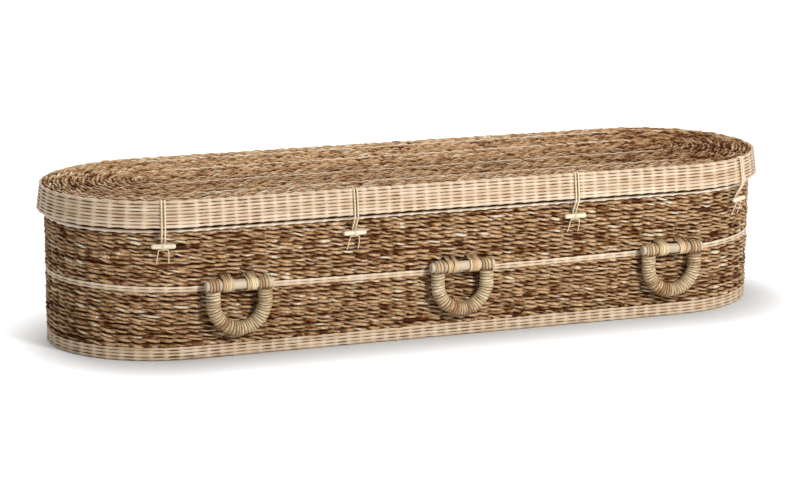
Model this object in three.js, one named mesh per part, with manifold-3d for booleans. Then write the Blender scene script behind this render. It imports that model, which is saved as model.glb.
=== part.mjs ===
// Banana leaf coffin: a woven basket with rounded ends, a woven lid that rests on it, three
// hanging handles and four cord closures on each long side.
// Millimetres, +Z up. The origin is the centre of the underside. X runs along the coffin and
// the side at -Y is the front.

import * as THREE from 'three';
import { mergeVertices } from 'three/addons/utils/BufferGeometryUtils.js';
import Module from 'manifold-3d';

const wasm = await Module();
wasm.setup();

// Plan: both long sides are straight for twice this length, then each end is a half ellipse.
const STRAIGHT_HALF = 660;
const END_STEPS = 16;
const SIDE_STEPS = 2;

// Basket: outer wall, floor and the rattan bands of the wall.
const BODY_HALF_LENGTH = 960;
const BODY_HALF_WIDTH = 265;
const BODY_HEIGHT = 388;
const WALL = 14;
const FLOOR = 14;
const BASE_BAND_TOP = 34;
const BAND_PROUD = 1.6;
const TOP_ROW_Z = 319;
const TOP_ROW_HEIGHT = 9;

// Lid: a flared rattan rim with rows, round a nearly flat woven top that stands a little over it.
const LID_HALF_LENGTH = 980;
const LID_HALF_WIDTH = 286;
const RIM_BOTTOM = 334.5;
const RIM_TOP = 400;
const RIM_FLARE = 9;
const RIM_THICKNESS = 8;
const RIM_ROWS = 8;
const ROW_RELIEF = 1.3;
const LEAF_EDGE = 403;
const LID_CROWN = 404;
const TOP_RING_INSETS = [73, 206];
const TOP_RING_WIDTH = 10;

// Handles: a bar held by two bindings, and a wrapped bail whose eyes turn on the bar.
const HANDLE_X = [-557, 30, 617];
const BAR_Z = 186;
const BAR_OFFSET = 23;
const BAR_RADIUS = 12.5;
const BAR_LENGTH = 172;
const BAIL_RADIUS = 19;
const BAIL_HALF_SPAN = 66;
const BAIL_STRAIGHT = 44;
const ARM_START = 14;
const EYE_RADIUS = 17.2;
const EYE_X = 63;
const EYE_LENGTH = 28;
const EYE_BORE = 13.4;
const BINDING_WIDTH = 27;
const BINDING_X = 30;
const BINDING_RADIUS = 17;
const BINDING_REACH = 24;

// Closures: a toggle tied to the wall, and a cord loop from the lid that goes round it.
const CLOSURE_X = [-738, -254, 344, 834];
const TOGGLE_Z = 289;
const TOGGLE_RADIUS = 6.2;
const TOGGLE_LENGTH = 60;
const TOGGLE_OFFSET = 12.8;
const LOOP_CORD_RADIUS = 2.5;
const LOOP_HALF_GAP = 4;
const TIE_CORD_RADIUS = 1.5;

// Pieces that touch keep this much between them.
const GAP = 0.3;

const leaf = { color: 0x9a7347, roughness: 0.75, metalness: 0 };
const rattan = { color: 0xe2cdaa, roughness: 0.6, metalness: 0 };
const cane = { color: 0xcfb182, roughness: 0.6, metalness: 0 };
const paleWood = { color: 0xf0e6d2, roughness: 0.55, metalness: 0 };
const cord = { color: 0xdccba6, roughness: 0.8, metalness: 0 };

const coffin = new THREE.Group();

function addPiece(name, geometry, look, parent = coffin) {
  const mesh = new THREE.Mesh(geometry, new THREE.MeshStandardMaterial(look));
  mesh.name = name;
  parent.add(mesh);
  return mesh;
}

// One level outline, anticlockwise from the far end of the front side.
function outlineRing(halfLength, halfWidth, z) {
  const ring = [];
  for (const side of [1, -1]) {
    for (let i = 0; i <= END_STEPS; i++) {
      const angle = Math.PI * (i / END_STEPS - 0.5);
      const x = STRAIGHT_HALF + (halfLength - STRAIGHT_HALF) * Math.cos(angle);
      ring.push(new THREE.Vector3(side * x, side * halfWidth * Math.sin(angle), z));
    }
    for (let i = 1; i < SIDE_STEPS; i++) {
      const x = STRAIGHT_HALF * (1 - 2 * i / SIDE_STEPS);
      ring.push(new THREE.Vector3(side * x, side * halfWidth, z));
    }
  }
  return ring;
}

// A closed skin through level outlines, from the centre of the first to the centre of the last.
function loft(halfLength, halfWidth, profile) {
  const rings = profile.map(([inset, z]) => outlineRing(halfLength - inset, halfWidth - inset, z));
  const around = rings[0].length;
  const points = rings.flat();
  const first = points.length;
  points.push(new THREE.Vector3(0, 0, profile[0][1]));
  points.push(new THREE.Vector3(0, 0, profile.at(-1)[1]));
  const faces = [];
  for (let i = 0; i < around; i++) {
    const next = (i + 1) % around;
    faces.push(first, next, i);
    for (let k = 0; k + 1 < rings.length; k++) {
      const low = k * around;
      const high = low + around;
      faces.push(low + i, low + next, high + next);
      faces.push(low + i, high + next, high + i);
    }
    const last = (rings.length - 1) * around;
    faces.push(first + 1, last + i, last + next);
  }
  const geometry = new THREE.BufferGeometry().setFromPoints(points);
  geometry.setIndex(faces);
  geometry.computeVertexNormals();
  return geometry;
}

function toSolid(geometry) {
  const bare = geometry.clone();
  bare.deleteAttribute('normal');
  bare.deleteAttribute('uv');
  const merged = mergeVertices(bare, 1e-4);
  const vertProperties = Float32Array.from(merged.attributes.position.array);
  const triVerts = Uint32Array.from(merged.index.array);
  return new wasm.Manifold(new wasm.Mesh({ numProp: 3, vertProperties, triVerts }));
}

function fromSolid(solid) {
  const { vertProperties, triVerts } = solid.getMesh();
  const geometry = new THREE.BufferGeometry();
  geometry.setAttribute('position', new THREE.BufferAttribute(vertProperties, 3));
  geometry.setIndex(new THREE.BufferAttribute(triVerts, 1));
  geometry.computeVertexNormals();
  return geometry;
}

function circle(radius, sides) {
  const shape = new THREE.Shape();
  for (let i = 0; i < sides; i++) {
    const angle = 2 * Math.PI * (i + 0.5) / sides;
    const [x, y] = [radius * Math.cos(angle), radius * Math.sin(angle)];
    if (i) shape.lineTo(x, y);
    else shape.moveTo(x, y);
  }
  shape.closePath();
  return shape;
}

function tube(curve, radius, sides, steps) {
  return new THREE.ExtrudeGeometry(circle(radius, sides), { extrudePath: curve, steps });
}

// The basket, open at the top.
function bodyGeometry() {
  return loft(BODY_HALF_LENGTH, BODY_HALF_WIDTH, [
    [9, 0],
    [3, 3],
    [-BAND_PROUD + 1, 12],
    [-BAND_PROUD, BASE_BAND_TOP - 3],
    [0, BASE_BAND_TOP],
    [0, TOP_ROW_Z],
    [-BAND_PROUD, TOP_ROW_Z + 2],
    [-BAND_PROUD, TOP_ROW_Z + TOP_ROW_HEIGHT - 2],
    [0.8, TOP_ROW_Z + TOP_ROW_HEIGHT],
    [0.8, BODY_HEIGHT - 8],
    [3.5, BODY_HEIGHT],
    [WALL - 3.5, BODY_HEIGHT],
    [WALL, BODY_HEIGHT - 8],
    [WALL, FLOOR + 10],
    [WALL + 8, FLOOR],
  ]);
}

// The lid: underside, inner rim, rows of the rim, shoulder, and the top with its two rings.
function lidGeometry() {
  const flare = (z) => RIM_FLARE * (z - RIM_BOTTOM) / (RIM_TOP - RIM_BOTTOM);
  const underside = BODY_HEIGHT + GAP;
  const profile = [
    [flare(underside) + RIM_THICKNESS + 2, underside],
    [flare(underside) + RIM_THICKNESS, underside - 4],
    [RIM_THICKNESS, RIM_BOTTOM + 3],
    [RIM_THICKNESS - 2, RIM_BOTTOM],
    [1.5, RIM_BOTTOM],
  ];
  const pitch = (RIM_TOP - RIM_BOTTOM - 6) / RIM_ROWS;
  for (let row = 0; row < RIM_ROWS; row++) {
    const z = RIM_BOTTOM + 2 + row * pitch;
    profile.push([flare(z), z + pitch * 0.3]);
    profile.push([flare(z) + ROW_RELIEF, z + pitch * 0.85]);
  }
  profile.push([RIM_FLARE - 1, RIM_TOP - 2]);
  profile.push([RIM_FLARE + 3, RIM_TOP]);
  profile.push([RIM_FLARE + 8, RIM_TOP - 0.5]);
  profile.push([RIM_FLARE + 11, LEAF_EDGE]);
  const crown = (inset) => LEAF_EDGE + (LID_CROWN - LEAF_EDGE) * inset / LID_HALF_WIDTH;
  for (const inset of TOP_RING_INSETS) {
    const end = inset + TOP_RING_WIDTH;
    profile.push([inset - 1.5, crown(inset)]);
    profile.push([inset + 1, crown(inset) + 1.2]);
    profile.push([end - 1, crown(end) + 1.2]);
    profile.push([end + 1.5, crown(end)]);
  }
  return loft(LID_HALF_LENGTH, LID_HALF_WIDTH, profile);
}

// Handle pieces are made round the bar's axis, with the wall at +Y.
function barGeometry() {
  const half = BAR_LENGTH / 2;
  const profile = [
    [0, -half],
    [BAR_RADIUS - 2, -half],
    [BAR_RADIUS, -half + 2],
    [BAR_RADIUS, half - 2],
    [BAR_RADIUS - 2, half],
    [0, half],
  ];
  const geometry = new THREE.LatheGeometry(profile.map(([r, y]) => new THREE.Vector2(r, y)), 12);
  return geometry.rotateZ(-Math.PI / 2);
}

// Cane wound over the bar and into the wall, above and below it.
function bindingGeometry() {
  const wall = BAR_OFFSET - GAP;
  const shape = new THREE.Shape();
  shape.moveTo(wall, -BINDING_REACH);
  const steps = 6;
  for (let i = 0; i <= steps; i++) {
    const angle = -Math.PI / 2 - Math.PI * i / steps;
    shape.lineTo(BINDING_RADIUS * Math.cos(angle), BINDING_RADIUS * Math.sin(angle));
  }
  shape.lineTo(wall, BINDING_REACH);
  shape.closePath();
  shape.holes.push(circle(BAR_RADIUS + GAP + 0.4, 10));
  const geometry = new THREE.ExtrudeGeometry(shape, { depth: BINDING_WIDTH, bevelEnabled: false });
  geometry.translate(0, 0, -BINDING_WIDTH / 2);
  return geometry.applyMatrix4(new THREE.Matrix4().makeBasis(
    new THREE.Vector3(0, 1, 0), new THREE.Vector3(0, 0, 1), new THREE.Vector3(1, 0, 0)));
}

// The bail: two arms and a half circle below them, with an eye on each end for the bar.
class BailCurve extends THREE.Curve {
  getPoint(t, target = new THREE.Vector3()) {
    const arc = Math.PI * BAIL_HALF_SPAN;
    const arm = BAIL_STRAIGHT - ARM_START;
    const along = t * (arc + 2 * arm) - arm;
    const angle = THREE.MathUtils.clamp(along, 0, arc) / BAIL_HALF_SPAN;
    const rise = Math.max(-along, along - arc, 0);
    const x = -BAIL_HALF_SPAN * Math.cos(angle);
    const z = rise - BAIL_STRAIGHT - BAIL_HALF_SPAN * Math.sin(angle);
    return target.set(x, 0, z);
  }
}

function bailGeometry() {
  let solid = toSolid(tube(new BailCurve(), BAIL_RADIUS, 8, 18));
  for (const side of [-1, 1]) {
    const eye = new THREE.CylinderGeometry(EYE_RADIUS, EYE_RADIUS, EYE_LENGTH, 12);
    eye.rotateZ(Math.PI / 2).translate(side * EYE_X, 0, 0);
    solid = solid.add(toSolid(eye));
  }
  const bore = new THREE.CylinderGeometry(EYE_BORE, EYE_BORE, 4 * BAIL_HALF_SPAN, 12);
  return fromSolid(solid.subtract(toSolid(bore.rotateZ(Math.PI / 2))));
}

// A place on the basket's wall: its point and which way is out. It makes the group that the
// pieces there are added to, with X along the wall, -Y out of it and Z up.
function wallPlace(x, side) {
  const endLength = BODY_HALF_LENGTH - STRAIGHT_HALF;
  const past = Math.max(Math.abs(x) - STRAIGHT_HALF, 0) * Math.sign(x);
  const y = BODY_HALF_WIDTH * Math.sqrt(1 - (past / endLength) ** 2);
  const turn = Math.atan2(past / endLength ** 2, y / BODY_HALF_WIDTH ** 2);
  const place = new THREE.Group();
  place.position.set(x, side * y, 0);
  place.rotation.z = side < 0 ? turn : Math.PI - turn;
  coffin.add(place);
  return place;
}

function toggleGeometry() {
  const half = TOGGLE_LENGTH / 2;
  const profile = [
    [0, -half],
    [TOGGLE_RADIUS * 0.6, -half],
    [TOGGLE_RADIUS, -half + 4],
    [TOGGLE_RADIUS, half - 4],
    [TOGGLE_RADIUS * 0.6, half],
    [0, half],
  ];
  const geometry = new THREE.LatheGeometry(profile.map(([r, y]) => new THREE.Vector2(r, y)), 8);
  return geometry.rotateZ(-Math.PI / 2);
}

// The lid's cord: out at the top of the rim, down over it and behind the toggle, and back up.
function loopGeometry() {
  const rimReach = LID_HALF_WIDTH - BODY_HALF_WIDTH;
  const off = LOOP_CORD_RADIUS + GAP + 0.9;
  const behind = LOOP_CORD_RADIUS + 1;
  const strand = [
    [rimReach - RIM_FLARE - 7, RIM_TOP + off],
    [rimReach - RIM_FLARE + 0.5, RIM_TOP - 0.5 + off],
    [rimReach - RIM_FLARE + off, RIM_TOP - 2],
    [rimReach + off, RIM_BOTTOM + 3],
    [rimReach + 1.5, RIM_BOTTOM - 8],
    [behind, TOGGLE_Z + 9],
    [behind, TOGGLE_Z - 7],
  ];
  const down = strand.map(([out, z]) => new THREE.Vector3(-LOOP_HALF_GAP, -out, z));
  const up = strand.map(([out, z]) => new THREE.Vector3(LOOP_HALF_GAP, -out, z)).reverse();
  const turn = new THREE.Vector3(0, -behind, TOGGLE_Z - 12);
  return strandChain([...down, turn, ...up], LOOP_CORD_RADIUS, 4);
}

// The tie: along under the toggle, and down into the wall on both sides of the loop.
function tieGeometry() {
  const near = TIE_CORD_RADIUS + GAP;
  const under = TOGGLE_Z - TOGGLE_RADIUS - near;
  return strandChain([
    new THREE.Vector3(-17, -near, TOGGLE_Z - 43),
    new THREE.Vector3(-15, -near - 4, TOGGLE_Z - 34),
    new THREE.Vector3(-12, -TOGGLE_OFFSET, under),
    new THREE.Vector3(12, -TOGGLE_OFFSET, under),
    new THREE.Vector3(13, -near - 4, TOGGLE_Z - 34),
    new THREE.Vector3(12, -near, TOGGLE_Z - 43),
  ], TIE_CORD_RADIUS, 4);
}

// A thin round cord through corner points, mitred at each corner and closed at both ends.
function strandChain(corners, radius, sides) {
  const points = [];
  const count = corners.length;
  const heading = corners.slice(1).map((p, i) => p.clone().sub(corners[i]).normalize());
  let across = new THREE.Vector3(1, 0, 0);
  if (Math.abs(heading[0].x) > 0.8) across = new THREE.Vector3(0, 0, 1);
  for (let i = 0; i < count; i++) {
    const before = heading[Math.max(i - 1, 0)];
    const after = heading[Math.min(i, count - 2)];
    const along = before.clone().add(after).normalize();
    across = across.clone().addScaledVector(along, -across.dot(along)).normalize();
    const other = along.clone().cross(across);
    for (let k = 0; k < sides; k++) {
      const angle = 2 * Math.PI * k / sides;
      points.push(corners[i].clone()
        .addScaledVector(across, radius * Math.cos(angle))
        .addScaledVector(other, radius * Math.sin(angle)));
    }
  }
  const faces = [];
  for (let k = 0; k < sides; k++) {
    const next = (k + 1) % sides;
    for (let i = 0; i + 1 < count; i++) {
      const low = i * sides;
      const high = low + sides;
      faces.push(low + k, low + next, high + next);
      faces.push(low + k, high + next, high + k);
    }
    if (k > 0 && k + 1 < sides) {
      const last = (count - 1) * sides;
      faces.push(0, k + 1, k);
      faces.push(last, last + k, last + k + 1);
    }
  }
  const geometry = new THREE.BufferGeometry().setFromPoints(points);
  geometry.setIndex(faces);
  geometry.computeVertexNormals();
  return geometry;
}

function addHandle(label, x, side) {
  const place = new THREE.Group();
  place.position.set(x, side * (BODY_HALF_WIDTH + BAR_OFFSET), BAR_Z);
  place.rotation.z = side < 0 ? 0 : Math.PI;
  coffin.add(place);
  addPiece(`handle_bar_${label}`, barGeometry(), paleWood, place);
  addPiece(`handle_bail_${label}`, bailGeometry(), cane, place);
  addPiece(`bar_binding_${label}_a`, bindingGeometry(), cane, place).position.x = -BINDING_X;
  addPiece(`bar_binding_${label}_b`, bindingGeometry(), cane, place).position.x = BINDING_X;
}

function addClosure(label, x, side) {
  const place = wallPlace(x, side);
  const toggle = addPiece(`toggle_${label}`, toggleGeometry(), paleWood, place);
  toggle.position.set(0, -TOGGLE_OFFSET, TOGGLE_Z);
  addPiece(`lid_loop_${label}`, loopGeometry(), cord, place);
  addPiece(`toggle_tie_${label}`, tieGeometry(), cord, place);
}

addPiece('basket', bodyGeometry(), leaf);
addPiece('lid', lidGeometry(), rattan);
for (const [name, side] of [['front', -1], ['back', 1]]) {
  HANDLE_X.forEach((x, i) => addHandle(`${name}_${i + 1}`, x, side));
  CLOSURE_X.forEach((x, i) => addClosure(`${name}_${i + 1}`, x, side));
}

export default coffin;
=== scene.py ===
# %% [markdown]
# # A banana leaf coffin
#
# A woven coffin with rounded ends. Its walls and the top of its lid are rows of twisted dried
# banana leaf, its bands and the lid's rim are rows of peeled rattan, and its handles are wound
# with cane. The frame holds the solids at their real places, and this script dresses them.

# %% Load the frame
import math

import bpy
import numpy as np
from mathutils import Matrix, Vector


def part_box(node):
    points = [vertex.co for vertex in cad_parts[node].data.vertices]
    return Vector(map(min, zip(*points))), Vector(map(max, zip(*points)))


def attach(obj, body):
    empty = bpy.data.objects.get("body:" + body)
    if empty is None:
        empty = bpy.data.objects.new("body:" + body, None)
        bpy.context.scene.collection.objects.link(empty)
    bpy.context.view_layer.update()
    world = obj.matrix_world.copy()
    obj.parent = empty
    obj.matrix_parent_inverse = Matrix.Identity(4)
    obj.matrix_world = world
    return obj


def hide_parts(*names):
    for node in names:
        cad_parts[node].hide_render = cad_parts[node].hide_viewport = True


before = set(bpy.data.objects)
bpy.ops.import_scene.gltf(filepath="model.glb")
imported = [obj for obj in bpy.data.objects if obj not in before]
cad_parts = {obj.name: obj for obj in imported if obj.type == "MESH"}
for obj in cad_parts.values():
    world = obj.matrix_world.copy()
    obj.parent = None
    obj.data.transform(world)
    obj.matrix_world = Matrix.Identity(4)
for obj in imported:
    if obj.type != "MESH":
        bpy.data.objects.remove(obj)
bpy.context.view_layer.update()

# %% [markdown]
# ## Sizes
#
# The basket and the lid share one plan: straight sides, as long as the solids' own, and a half
# ellipse at each end. Most sizes come from the boxes of the frame's nodes.

# %% Sizes in metres
MM = 0.001
STRAIGHT_HALF = 660 * MM
basket_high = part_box("basket")[1]
lid_low, lid_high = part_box("lid")
BAND_PROUD = 1.6 * MM
BODY_A = basket_high.x - BAND_PROUD
BODY_B = basket_high.y - BAND_PROUD
BODY_TOP = basket_high.z
LID_A, LID_B = lid_high.x, lid_high.y
RIM_BOTTOM = lid_low.z
RIM_TOP = 400 * MM
LEAF_EDGE, LID_CROWN = 403 * MM, 404 * MM
RIM_FLARE = 9 * MM
WALL = 14 * MM
BASE_BAND = 34 * MM
TOP_ROW_Z = 319 * MM
TOP_ROW_HEIGHT = 9 * MM
MID_BAND_Z = 175 * MM
STAKE_SPACING = 33 * MM
print("basket half sizes", BODY_A, BODY_B, "lid half sizes", LID_A, LID_B)

# %% [markdown]
# ## The camera
#
# The camera comes first, because every later choice is judged through it. It looks from the
# front left and a little above, through a long lens, so that the long sides hardly converge.
# Its place is given as an aim, two angles, a distance and a small roll.

# %% Camera
AIM = np.array([-0.0254, 0.0, 0.1674])
AZIMUTH, ELEVATION, ROLL = math.radians(-21.47), math.radians(13.01), math.radians(0.497)
DISTANCE = 6.829
LENS = 118.2


def unit(v):
    """The vector, or each vector along the last axis, divided by its length."""
    return v / np.linalg.norm(v, axis=-1, keepdims=True)


def add_object(name, data):
    """A new object in the scene, at the origin."""
    made = bpy.data.objects.new(name, data)
    bpy.context.scene.collection.objects.link(made)
    return made


back = np.array([math.sin(AZIMUTH) * math.cos(ELEVATION),
                 -math.cos(AZIMUTH) * math.cos(ELEVATION), math.sin(ELEVATION)])
level = np.array([math.cos(AZIMUTH), math.sin(AZIMUTH), 0.0])
rise = np.cross(back, level)
right = math.cos(ROLL) * level + math.sin(ROLL) * rise
up = -math.sin(ROLL) * level + math.cos(ROLL) * rise
camera = add_object("camera", bpy.data.cameras.new("camera"))
axes = np.eye(4)
axes[:3, 0], axes[:3, 1], axes[:3, 2] = right, up, back
axes[:3, 3] = AIM + back * DISTANCE
camera.matrix_world = axes.T.tolist()
camera.data.lens = LENS
camera.data.clip_start, camera.data.clip_end = 0.1, 100.0
bpy.context.scene.camera = camera
print("camera at", axes[:3, 3])

# %% [markdown]
# ## Meshes from grids
#
# Nearly everything here is a round strand carried along a path: a grid whose first direction
# runs along the path and whose second runs round the section. One function turns any number of
# such grids into one mesh. It works on whole arrays, and it also writes a UV map, in metres
# along the strand and in turns round it, and two numbers for each point: the strand's own tone,
# and a painted shade that darkens what lies deep in the weave and the strands' lower edges,
# where the shadow falls.


# %% Grids to a mesh
def grid_faces(rows, columns, closed, first):
    """Quads between neighbouring points of a grid. Columns always close on themselves, and rows
    do when the path is a loop. It returns the corners and the row and column of each corner."""
    count = rows if closed else rows - 1
    i, j = np.meshgrid(np.arange(count), np.arange(columns), indexing="ij")
    row = np.stack([i, i + 1, i + 1, i], axis=-1)
    column = np.stack([j, j, j + 1, j + 1], axis=-1)
    corners = (row % rows) * columns + column % columns + first
    return corners.reshape(-1, 4), row.reshape(-1, 4), column.reshape(-1, 4)


def mesh_from_grids(name, grids):
    """One object from a list of grids. Each is a dict of points (n, m, 3), closed, tone, perhaps
    shade, and along (n + 1,) in metres or its own uv. Open strands get a flat face at each end.
    A tone or shade is one number, or one for each row, or one for each point."""
    points, quads, uvs, caps = [], [], [], []
    numbers = {"tone": [], "shade": []}
    first = 0
    for g in grids:
        n, m = g["points"].shape[:2]
        corners, row, column = grid_faces(n, m, g["closed"], first)
        points.append(g["points"].reshape(-1, 3))
        quads.append(corners)
        uv = g["uv"][row, column] if "uv" in g else np.stack([g["along"][row], column / m], axis=-1)
        uvs.append(uv.reshape(-1, 2))
        for key, values in numbers.items():
            number = np.asarray(g.get(key, 1.0))
            number = number if number.ndim == 2 else number.reshape(-1, 1)
            values.append(np.broadcast_to(number, (n, m)).ravel())
        if not g["closed"]:
            ring = np.arange(m)
            caps.append(first + ring)
            caps.append(first + (n - 1) * m + ring[::-1])
        first += n * m
    points, quads = np.concatenate(points), np.concatenate(quads)
    sizes = np.array([4] * len(quads) + [len(c) for c in caps], dtype=np.int32)
    loops = np.concatenate([quads.ravel(), *caps]).astype(np.int32)
    mesh = bpy.data.meshes.new(name)
    mesh.vertices.add(len(points))
    mesh.vertices.foreach_set("co", points.astype(np.float32).ravel())
    mesh.loops.add(len(loops))
    mesh.loops.foreach_set("vertex_index", loops)
    mesh.polygons.add(len(sizes))
    starts = np.concatenate([[0], np.cumsum(sizes)[:-1]]).astype(np.int32)
    mesh.polygons.foreach_set("loop_start", starts)
    mesh.update(calc_edges=True)
    mesh.polygons.foreach_set("use_smooth", sizes == 4)
    layer = mesh.uv_layers.new(name="strand")
    uv = np.zeros((len(loops), 2), dtype=np.float32)
    uv[:quads.size] = np.concatenate(uvs)
    layer.uv.foreach_set("vector", uv.ravel())
    for key, values in numbers.items():
        number = mesh.attributes.new(key, "FLOAT", "POINT")
        number.data.foreach_set("value", np.concatenate(values).astype(np.float32))
    print(name, "has", int((sizes - 2).sum()), "triangles")
    return add_object(name, mesh)


# %% [markdown]
# ## The plan as a path
#
# Every row of weave runs round the coffin on the same kind of path. The path is measured in
# waves: one wave is a full twist of a pair of strands, which passes two stakes. The straight
# sides have a whole number of waves, and so has each end, so that a row closes on itself and
# the stakes of all rows stand above each other.

# %% Plan path
SIDE_WAVES = round(STRAIGHT_HALF / STAKE_SPACING)
PER_WAVE = 8
ARC_STEPS = 721


def distances(steps):
    """The distance from the start at each point, from the steps between the points."""
    return np.concatenate([[0], np.cumsum(steps)])


def end_arc(a, b, count):
    """Points at equal steps along the half ellipse from the front to the back, with the
    outward direction at each: the direction is (cos t / a, sin t / b), made a unit vector."""
    t = np.linspace(-math.pi / 2, math.pi / 2, ARC_STEPS)
    x, y = a * np.cos(t), b * np.sin(t)
    length = distances(np.hypot(np.diff(x), np.diff(y)))
    at = np.interp(np.arange(count) / count * length[-1], length, t)
    place = np.stack([a * np.cos(at), b * np.sin(at)], axis=-1)
    return place, unit(np.stack([np.cos(at) / a, np.sin(at) / b], axis=-1))


def plan_path(half_length, half_width, end_waves, per_wave=PER_WAVE):
    """The plan, anticlockwise from the left of the front side: points (n, 2), the outward
    directions (n, 2), and the waves passed so far (n,)."""
    steps = SIDE_WAVES * per_wave
    x = -STRAIGHT_HALF + 2 * STRAIGHT_HALF * np.arange(steps) / steps
    side = np.stack([x, np.full(steps, -half_width)], axis=-1)
    down = np.tile([0.0, -1.0], (steps, 1))
    arc, out = end_arc(half_length - STRAIGHT_HALF, half_width, end_waves * per_wave)
    arc = arc + [STRAIGHT_HALF, 0.0]
    half = np.concatenate([side, arc])
    facing = np.concatenate([down, out])
    points = np.concatenate([half, -half])
    outward = np.concatenate([facing, -facing])
    return points, outward, np.arange(len(points)) / per_wave


def ripple(count, strength, rng, low=2, high=14):
    """A smooth closed wobble: sine waves of whole numbers of turns round the loop, with random
    phases, each weaker as it gets finer."""
    u = np.arange(count)[:, None] / count
    turns = np.arange(low, high)
    phase = rng.random(len(turns)) * 2 * math.pi
    waves = np.sin(2 * math.pi * turns * u + phase) / np.sqrt(turns)
    return strength * waves.sum(axis=1)


# %% [markdown]
# ## A twined row
#
# Twining is the weave of this coffin: two strands run side by side, one before and one behind
# each stake, and change places between the stakes. Seen from outside, a row is a chain of
# slanted grains, one for each stake. Real strands are modelled, not a bump pattern, because the
# gaps between the rows give the coffin its dark speckles and its uneven outline.
#
# A look holds a strand's sizes and habits: pinch is its share of height between the stakes,
# hand the way it slants, uneven how its grains differ, drift and sway how it wanders across and
# along the row, fade how its tone wanders, and one more how dark it is between the stakes:
# painted shade where the strand turns behind a stake.


# %% Twined row
PATTERN_SHIFT = 10.0


def twined_row(path, base, out, across, look, rng):
    """Both strands of one row as closed grids. With the phase p, a strand's middle is the base
    moved by depth * cos p outwards and lift * sin p across the row. Its section is an ellipse
    that is widest in front of a stake, where bulge is 1, and thin where bulge is 0. Each grain
    has a random width and tone. Its lower edge is painted darker than its upper one, and the
    strand darker between the stakes: painted shade."""
    waves = path[2]
    n, m = len(waves), look["sides"]
    around = math.pi + 2 * math.pi * np.arange(m) / m
    length = np.linalg.norm(np.roll(base, -1, axis=0) - base, axis=1)
    along = distances(length) + rng.random() * PATTERN_SHIFT
    total = round(waves[-1] + waves[1])
    drift = ripple(n, look["drift"], rng)
    sway = ripple(n, look["sway"], rng, 15, 90)
    grids = []
    for strand in (0, 1):
        turn = waves + strand / 2 + look["shift"]
        phase = 2 * math.pi * (turn + sway)
        grain = np.floor(turn + 0.5).astype(int) % total
        inside = (turn + 0.5) % 1.0
        bulge = np.sin(math.pi * inside)
        wide = 1 + look["uneven"] * (rng.random(total)[grain] - 0.5) * 2 * bulge ** 2
        half_height = look["half_height"] * (look["pinch"] + (1 - look["pinch"]) * bulge) * wide
        half_depth = look["half_depth"] * (0.85 + 0.15 * bulge) * wide
        tilt = look["lift"] * look["hand"] * (1 + look["uneven"] * rng.normal(size=total)[grain])
        stray = 0.8 * look["lift"] * look["uneven"] * rng.normal(size=total)[grain]
        rise = tilt * np.sin(phase) + stray * bulge ** 2
        middle = (base + out * (look["depth"] * np.cos(phase))[:, None]
                  + across * (rise + drift)[:, None])
        ring = (out[:, None] * (half_depth[:, None] * np.cos(around))[..., None]
                + across[:, None] * (half_height[:, None] * np.sin(around))[..., None])
        own = 0.25 + 0.5 * rng.random() + ripple(n, look["fade"], rng, 8, 120)
        tone = 0.52 + 0.5 * (own - 0.5) + 0.38 * (rng.random(total)[grain] - 0.5)
        # Painted shade: both edges of the section are darker, the lower one most, and the strand
        # darkens between the stakes.
        edge = 1 - 0.5 * abs(np.sin(around)) ** 2 + 0.4 * np.minimum(np.sin(around), 0)
        shade = edge * (1 - look["between_shade"] * (1 - bulge) ** 1.15)[:, None]
        grids.append({"points": middle[:, None] + ring, "along": along, "tone": tone,
                      "shade": shade, "closed": True})
    return grids


LEAF_LOOK = {"sides": 6, "half_height": 4.2 * MM, "half_depth": 3.9 * MM, "depth": 4.0 * MM,
             "lift": 2.1 * MM, "hand": -1, "pinch": 0.34, "uneven": 0.38, "drift": 0.5 * MM,
             "sway": 0.08, "fade": 0.3, "shift": 0.0, "between_shade": 0.95, "jitter": 0.08,
             "stagger": 0.0}
TWINED_RATTAN = {"sides": 6, "half_height": 3.9 * MM, "half_depth": 2.4 * MM, "depth": 2.4 * MM,
                 "lift": 1.3 * MM, "hand": -1, "pinch": 0.7, "uneven": 0.06,
                 "drift": 0.15 * MM, "sway": 0.01, "fade": 0.08, "shift": 0.0, "between_shade": 0.3}


# %% [markdown]
# ## A rod over the stakes
#
# The pale bands are single peeled rods in rows pressed close together. What shows is a nearly
# flat band with a short dark slit in each gap between two stakes, so each rod has a slight bow
# and is thinner between the stakes.


# %% Floated rod
def float_row(path, base, out, across, look, rng):
    """One round rod woven over the stakes, as a closed grid. With s stakes passed, the rod bows
    out by depth * cos(2 pi s). Between the stakes, where between goes from 0 to 1, it is thinner
    by a random dip, which leaves a slit to the next row, and its edges there are painted darker,
    as shade. One number of the look makes a row darker, or paler when it is negative."""
    waves = path[2]
    n, m = len(waves), look["sides"]
    around = math.pi + 2 * math.pi * np.arange(m) / m
    length = np.linalg.norm(np.roll(base, -1, axis=0) - base, axis=1)
    along = distances(length) + rng.random() * PATTERN_SHIFT
    total = 2 * round(waves[-1] + waves[1])
    turn = 2 * waves + ripple(n, look["sway"], rng, 8, 40)
    gap = np.floor(turn).astype(int) % total
    stake = np.floor(turn + 0.5).astype(int) % total
    between = np.sqrt(np.clip(np.sin(math.pi * (turn % 1.0)) * 1.25 - 0.25, 0, 1))
    dip = look["dip"] * (0.35 + 1.2 * rng.random(total)[gap]) * between
    middle = (base + out * (look["depth"] * np.cos(2 * math.pi * turn))[:, None]
              + across * ripple(n, look["drift"], rng)[:, None])
    tall = look["half_height"] * (1 - dip)
    ring = (out[:, None] * (look["half_depth"] * np.cos(around))[None, :, None]
            + across[:, None] * (tall[:, None] * np.sin(around))[..., None])
    tone = 0.3 + 0.3 * rng.random() + ripple(n, look["fade"], rng, 2, 30) - look["tone_drop"]
    tone = tone + 0.16 * (rng.random(total)[stake] - 0.5)
    # Painted shade: between the stakes the rod's upper and lower edges are darker, by the slits.
    shade = 1 - 0.6 * between[:, None] * abs(np.sin(around)) ** 2
    return [{"points": middle[:, None] + ring, "along": along, "tone": tone, "shade": shade,
             "closed": True}]


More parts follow.
